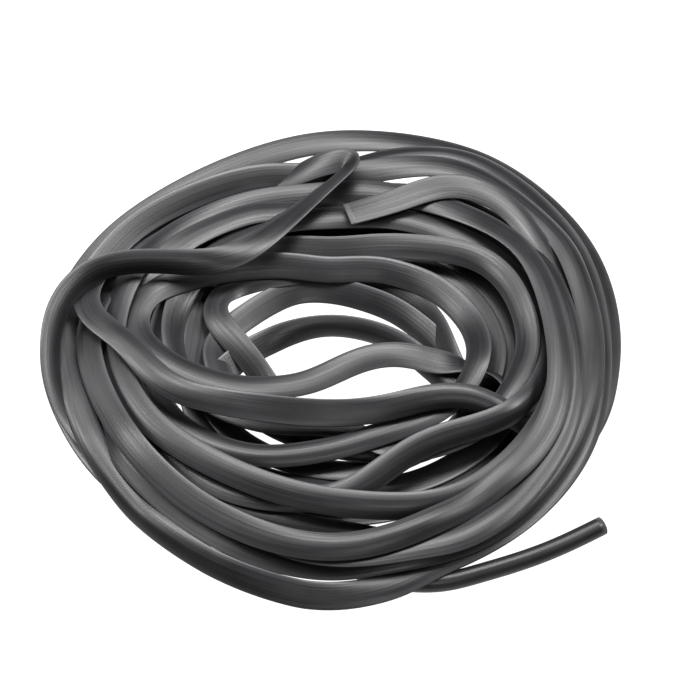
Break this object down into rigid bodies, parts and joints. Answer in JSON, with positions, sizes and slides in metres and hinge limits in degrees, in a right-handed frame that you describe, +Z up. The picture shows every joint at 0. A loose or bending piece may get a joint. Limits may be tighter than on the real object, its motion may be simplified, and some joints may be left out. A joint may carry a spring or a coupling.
{
  "type": "soaker hose",
  "caption": "Long soft rubber soaker hose, loosely coiled and partly collapsed, with two bare cut ends.",
  "frame": {"origin": "middle of the coil's footprint, on the surface that it lies on", "axes": "+Z up, out of the coil; +Y to the far side, where the flat end lies; +X to the side of the open mouth"},
  "size_m": [0.422, 0.422, 0.0536],
  "materials": {
    "hose": "satin"
  },
  "bodies": {
    "root": {"coil": "hose", "tail": "hose", "open_mouth": "hose", "hole_strand": "hose", "returning_loop": "hose", "flat_end": "hose"}
  },
  "joints": []
}
